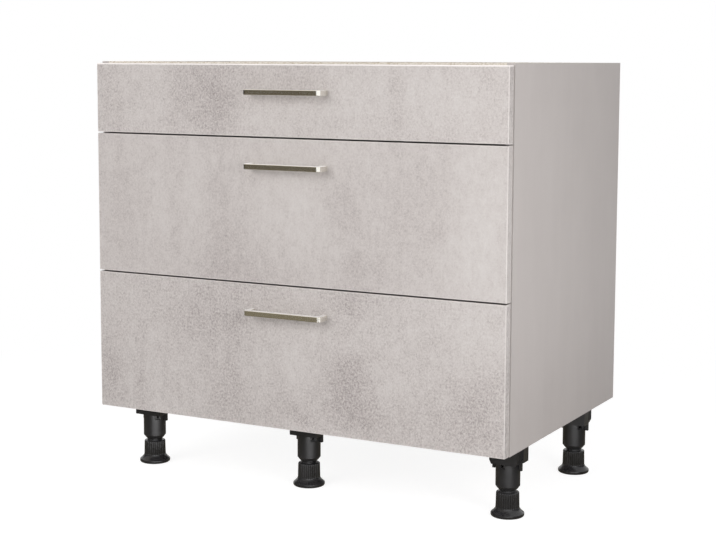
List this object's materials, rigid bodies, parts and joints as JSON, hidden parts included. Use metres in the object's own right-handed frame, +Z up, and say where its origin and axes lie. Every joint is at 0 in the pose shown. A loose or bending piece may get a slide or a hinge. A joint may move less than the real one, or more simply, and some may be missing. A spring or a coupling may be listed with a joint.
{
  "type": "base cabinet with drawers",
  "caption": "Kitchen base cabinet with a shallow drawer over deep drawers, bar handles, roller runners and levelling legs.",
  "frame": {"origin": "on the floor, midway across the width and midway between the handles' front and the back", "axes": "+X to the right seen from the front, +Y from the fronts to the back, +Z up"},
  "size_m": [0.9, 0.614, 0.845],
  "materials": {
    "front_laminate": "matt laminate with a cloudy concrete look",
    "carcass_laminate": "matt light grey laminate",
    "drawer_board": "matt light grey laminate",
    "raw_board": "raw chipboard",
    "back_board": "thin hardboard with a light coat",
    "dowel_wood": "raw beech",
    "handle_metal": "brushed, satin",
    "fitting_metal": "zinc plated",
    "runner_steel": "powder coated, light grey",
    "roller_nylon": "moulded nylon",
    "leg_plastic": "moulded, charcoal",
    "buffer_rubber": "soft, pale"
  },
  "bodies": {
    "root": {"side_panel_left": "carcass_laminate", "side_panel_right": "carcass_laminate", "bottom_panel": "carcass_laminate", "back_panel": "back_board", "top_rail_front": "raw_board", "top_rail_back": "raw_board", "cam_housings": "fitting_metal", "cam_bolts": "fitting_metal", "wood_dowels": "dowel_wood", "front_buffers": "buffer_rubber", "runner_screws": "fitting_metal", "leg_sockets": "leg_plastic", "cabinet_runner_left_bottom": "runner_steel", "cabinet_runner_right_bottom": "runner_steel", "cabinet_runner_left_middle": "runner_steel", "cabinet_runner_right_middle": "runner_steel", "cabinet_runner_left_top": "runner_steel", "cabinet_runner_right_top": "runner_steel", "leg_tube_front_left": "leg_plastic", "leg_tube_front_middle": "leg_plastic", "leg_tube_front_right": "leg_plastic", "leg_tube_back_left": "leg_plastic", "leg_tube_back_middle": "leg_plastic", "leg_tube_back_right": "leg_plastic"},
    "drawer_bottom": {"drawer_front_bottom": "front_laminate", "handle_bottom": "handle_metal", "handle_screws_bottom": "fitting_metal", "drawer_side_left_bottom": "runner_steel", "drawer_side_right_bottom": "runner_steel", "drawer_floor_bottom": "drawer_board", "drawer_back_bottom": "drawer_board", "gallery_rods_bottom": "runner_steel"},
    "cabinet_rollers_bottom": {"cabinet_rollers_bottom": "roller_nylon"},
    "drawer_rollers_bottom": {"drawer_rollers_bottom": "roller_nylon"},
    "drawer_middle": {"drawer_front_middle": "front_laminate", "handle_middle": "handle_metal", "handle_screws_middle": "fitting_metal", "drawer_side_left_middle": "runner_steel", "drawer_side_right_middle": "runner_steel", "drawer_floor_middle": "drawer_board", "drawer_back_middle": "drawer_board", "gallery_rods_middle": "runner_steel"},
    "cabinet_rollers_middle": {"cabinet_rollers_middle": "roller_nylon"},
    "drawer_rollers_middle": {"drawer_rollers_middle": "roller_nylon"},
    "drawer_top": {"drawer_front_top": "front_laminate", "handle_top": "handle_metal", "handle_screws_top": "fitting_metal", "drawer_side_left_top": "runner_steel", "drawer_side_right_top": "runner_steel", "drawer_floor_top": "drawer_board", "drawer_back_top": "drawer_board"},
    "cabinet_rollers_top": {"cabinet_rollers_top": "roller_nylon"},
    "drawer_rollers_top": {"drawer_rollers_top": "roller_nylon"},
    "foot_front_left": {"leg_foot_front_left": "leg_plastic"},
    "foot_front_middle": {"leg_foot_front_middle": "leg_plastic"},
    "foot_front_right": {"leg_foot_front_right": "leg_plastic"},
    "foot_back_left": {"leg_foot_back_left": "leg_plastic"},
    "foot_back_middle": {"leg_foot_back_middle": "leg_plastic"},
    "foot_back_right": {"leg_foot_back_right": "leg_plastic"}
  },
  "joints": [
    {"name": "drawer_bottom_slide", "type": "slide", "parent": "root", "child": "drawer_bottom", "axis": [0, -1, 0], "range_m": [0, 0.375]},
    {"name": "cabinet_rollers_bottom_turn", "type": "hinge", "parent": "root", "child": "cabinet_rollers_bottom", "pos_m": [0, -0.239, 0.1912], "axis": [1, 0, 0], "range_deg": [0, 1790.5]},
    {"name": "drawer_rollers_bottom_turn", "type": "hinge", "parent": "drawer_bottom", "child": "drawer_rollers_bottom", "pos_m": [0, 0.228, 0.188], "axis": [1, 0, 0], "range_deg": [0, 1790.5]},
    {"name": "drawer_middle_slide", "type": "slide", "parent": "root", "child": "drawer_middle", "axis": [0, -1, 0], "range_m": [0, 0.375]},
    {"name": "cabinet_rollers_middle_turn", "type": "hinge", "parent": "root", "child": "cabinet_rollers_middle", "pos_m": [0, -0.239, 0.4724], "axis": [1, 0, 0], "range_deg": [0, 1790.5]},
    {"name": "drawer_rollers_middle_turn", "type": "hinge", "parent": "drawer_middle", "child": "drawer_rollers_middle", "pos_m": [0, 0.228, 0.4692], "axis": [1, 0, 0], "range_deg": [0, 1790.5]},
    {"name": "drawer_top_slide", "type": "slide", "parent": "root", "child": "drawer_top", "axis": [0, -1, 0], "range_m": [0, 0.375]},
    {"name": "cabinet_rollers_top_turn", "type": "hinge", "parent": "root", "child": "cabinet_rollers_top", "pos_m": [0, -0.239, 0.7536], "axis": [1, 0, 0], "range_deg": [0, 1790.5]},
    {"name": "drawer_rollers_top_turn", "type": "hinge", "parent": "drawer_top", "child": "drawer_rollers_top", "pos_m": [0, 0.228, 0.7504], "axis": [1, 0, 0], "range_deg": [0, 1790.5]},
    {"name": "foot_front_left_adjust", "type": "slide", "parent": "root", "child": "foot_front_left", "axis": [0, 0, -1], "range_m": [-0.005, 0.025]},
    {"name": "foot_front_middle_adjust", "type": "slide", "parent": "root", "child": "foot_front_middle", "axis": [0, 0, -1], "range_m": [-0.005, 0.025]},
    {"name": "foot_front_right_adjust", "type": "slide", "parent": "root", "child": "foot_front_right", "axis": [0, 0, -1], "range_m": [-0.005, 0.025]},
    {"name": "foot_back_left_adjust", "type": "slide", "parent": "root", "child": "foot_back_left", "axis": [0, 0, -1], "range_m": [-0.005, 0.025]},
    {"name": "foot_back_middle_adjust", "type": "slide", "parent": "root", "child": "foot_back_middle", "axis": [0, 0, -1], "range_m": [-0.005, 0.025]},
    {"name": "foot_back_right_adjust", "type": "slide", "parent": "root", "child": "foot_back_right", "axis": [0, 0, -1], "range_m": [-0.005, 0.025]}
  ],
  "couplings": [
    {"joint": "cabinet_rollers_bottom_turn", "follows": "drawer_bottom_slide", "rad_per_m": 83.333},
    {"joint": "drawer_rollers_bottom_turn", "follows": "drawer_bottom_slide", "rad_per_m": 83.333},
    {"joint": "cabinet_rollers_middle_turn", "follows": "drawer_middle_slide", "rad_per_m": 83.333},
    {"joint": "drawer_rollers_middle_turn", "follows": "drawer_middle_slide", "rad_per_m": 83.333},
    {"joint": "cabinet_rollers_top_turn", "follows": "drawer_top_slide", "rad_per_m": 83.333},
    {"joint": "drawer_rollers_top_turn", "follows": "drawer_top_slide", "rad_per_m": 83.333}
  ]
}
